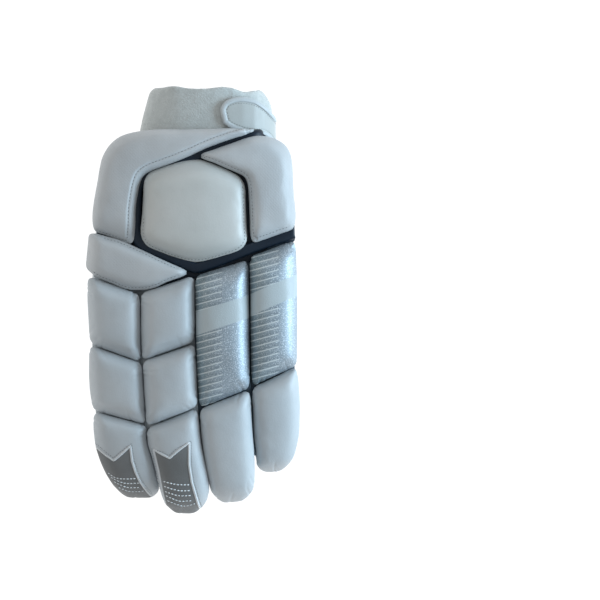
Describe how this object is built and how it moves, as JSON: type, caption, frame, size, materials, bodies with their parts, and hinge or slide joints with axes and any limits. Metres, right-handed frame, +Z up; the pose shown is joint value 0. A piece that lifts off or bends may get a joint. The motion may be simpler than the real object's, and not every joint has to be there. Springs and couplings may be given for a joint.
{
  "type": "cricket batting glove",
  "caption": "Left-hand cricket batting glove, palm down: padded finger rolls and back pads over a hollow leather hand, towelling cuff and wrist strap.",
  "frame": {"origin": "on the resting surface, under the middle of the glove's length and width", "axes": "+Y from the fingertips to the cuff, +X from the index side to the little finger side, +Z up from the surface through the back of the hand"},
  "size_m": [0.1601, 0.32, 0.0764],
  "materials": {
    "pad_leather": "smooth coated leather, soft sheen",
    "panel_leather": "smooth coated leather",
    "silver_leather": "metallic coated leather with a pale band and hatching",
    "channel_leather": "dark navy leather",
    "palm_leather": "soft matt leather",
    "towelling": "looped elastic towelling",
    "strap_leather": "smooth leather with a turned binding"
  },
  "bodies": {
    "root": {"back_base": "channel_leather", "index_side_pad": "pad_leather", "little_side_pad": "pad_leather", "hexagon_pad": "panel_leather", "chevron_pad": "pad_leather", "index_upper_roll": "pad_leather", "index_middle_roll": "pad_leather", "index_tip_pad": "pad_leather", "middle_upper_roll": "pad_leather", "middle_middle_roll": "pad_leather", "middle_tip_pad": "pad_leather", "ring_long_roll": "silver_leather", "ring_tip_pad": "pad_leather", "little_long_roll": "silver_leather", "little_tip_pad": "pad_leather", "side_roll_upper": "pad_leather", "side_roll_lower": "pad_leather", "palm_shell": "palm_leather", "index_stall": "palm_leather", "middle_stall": "palm_leather", "ring_stall": "palm_leather", "little_stall": "palm_leather", "thumb_stall": "palm_leather", "thumb_pad": "pad_leather", "cuff": "towelling", "wrist_strap": "strap_leather"}
  },
  "joints": []
}
